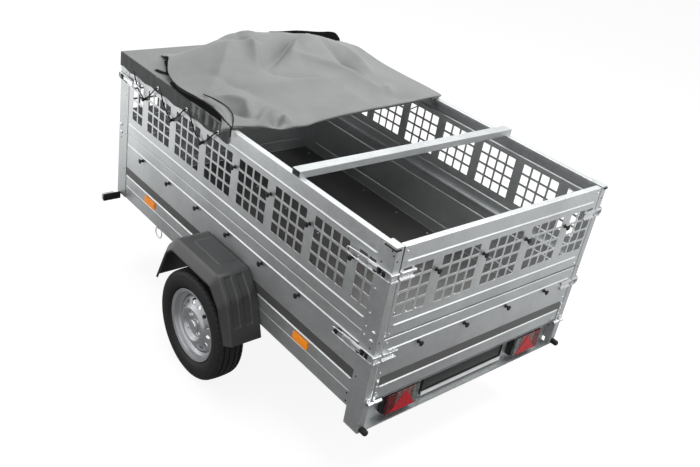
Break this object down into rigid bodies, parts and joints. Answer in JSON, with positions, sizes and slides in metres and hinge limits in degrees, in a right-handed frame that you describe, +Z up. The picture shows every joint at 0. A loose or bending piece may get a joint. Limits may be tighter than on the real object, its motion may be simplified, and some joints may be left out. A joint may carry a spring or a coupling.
{
  "type": "utility trailer",
  "caption": "Single-axle box trailer with galvanised boards, mesh upper sides, two hinged gates at the back, jockey wheel and a cover folded over its front half.",
  "frame": {"origin": "on the ground, under the middle of the bounding box", "axes": "+Y forward along the drawbar, +X to the right when facing forward, +Z up"},
  "size_m": [1.66, 3.075, 1.3703],
  "materials": {
    "galvanised_sheet": "spangled, dull",
    "galvanised_posts": "spangled, dull",
    "galvanised_frame": "hot dip, dull",
    "floor_plywood": "film faced, dark brown, satin",
    "tyre": "matt",
    "rim_silver": "silver, semi gloss",
    "hub_steel": "zinc plated",
    "mudguard_plastic": "fine grain, dull",
    "black_rubber": "matt",
    "latch_steel": "zinc plated",
    "lamp_black": "matt",
    "lamp_red": "clear red",
    "marker_white": "clear white",
    "reflector_amber": "amber prisms",
    "plate_black": "matt",
    "black_plastic": "matt",
    "cover_fabric": "coated, dull",
    "elastic_cord": "braided",
    "zinc_steel": "zinc plated",
    "grey_wheel": "matt",
    "grip_black": "matt"
  },
  "bodies": {
    "trailer": {"axle_arms": "galvanised_frame", "axle_beam": "galvanised_frame", "body_knobs": "black_rubber", "corner_caps": "black_plastic", "corner_posts": "galvanised_posts", "coupling_handle": "grip_black", "coupling_head": "zinc_steel", "cover": "cover_fabric", "cross_members": "galvanised_frame", "crossbar": "galvanised_frame", "drawbar": "galvanised_frame", "floor_panel": "floor_plywood", "front_board": "galvanised_sheet", "gate_pivots": "latch_steel", "jockey_crank": "zinc_steel", "jockey_tube": "zinc_steel", "lacing": "elastic_cord", "lamp_housings": "lamp_black", "lamp_lenses": "lamp_red", "lamp_panel": "galvanised_sheet", "lashing_rings": "zinc_steel", "marker_brackets": "black_rubber", "marker_lenses": "marker_white", "mesh_front": "galvanised_sheet", "mesh_side_left": "galvanised_sheet", "mesh_side_right": "galvanised_sheet", "mudguard_left": "mudguard_plastic", "mudguard_right": "mudguard_plastic", "plate_holder": "plate_black", "rubber_buffers": "black_rubber", "side_board_left": "galvanised_sheet", "side_board_right": "galvanised_sheet", "side_latches": "latch_steel", "side_reflectors": "reflector_amber"},
    "wheel_left": {"tyre_left": "tyre", "rim_left": "rim_silver", "hub_left": "hub_steel"},
    "wheel_right": {"tyre_right": "tyre", "rim_right": "rim_silver", "hub_right": "hub_steel"},
    "tailgate": {"tailgate_board": "galvanised_sheet", "tailgate_hinges": "latch_steel", "tailgate_catches": "latch_steel", "tailgate_knobs": "black_rubber"},
    "mesh_tailgate": {"mesh_tailgate_panel": "galvanised_sheet", "mesh_tailgate_catches": "latch_steel", "mesh_tailgate_knobs": "black_rubber"},
    "jockey_stem": {"jockey_stem": "zinc_steel"},
    "jockey_fork": {"jockey_fork": "zinc_steel"},
    "jockey_roller": {"jockey_roller": "grey_wheel"}
  },
  "joints": [
    {"name": "wheel_left_spin", "type": "hinge", "parent": "trailer", "child": "wheel_left", "pos_m": [-0.741, -0.4875, 0.27], "axis": [1, 0, 0], "continuous": true},
    {"name": "wheel_right_spin", "type": "hinge", "parent": "trailer", "child": "wheel_right", "pos_m": [0.741, -0.4875, 0.27], "axis": [1, 0, 0], "continuous": true},
    {"name": "tailgate_hinge", "type": "hinge", "parent": "trailer", "child": "tailgate", "pos_m": [0, -1.5145, 0.505], "axis": [1, 0, 0], "range_deg": [0, 180]},
    {"name": "mesh_tailgate_hinge", "type": "hinge", "parent": "trailer", "child": "mesh_tailgate", "pos_m": [0, -1.4925, 0.828], "axis": [1, 0, 0], "range_deg": [0, 110]},
    {"name": "jockey_slide", "type": "slide", "parent": "trailer", "child": "jockey_stem", "axis": [0, 0, 1], "range_m": [0, 0.125]},
    {"name": "jockey_swivel", "type": "hinge", "parent": "jockey_stem", "child": "jockey_fork", "pos_m": [-0.062, 1.1375, 0.21], "axis": [0, 0, 1], "continuous": true},
    {"name": "jockey_spin", "type": "hinge", "parent": "jockey_fork", "child": "jockey_roller", "pos_m": [-0.062, 1.0925, 0.1], "axis": [1, 0, 0], "continuous": true}
  ]
}
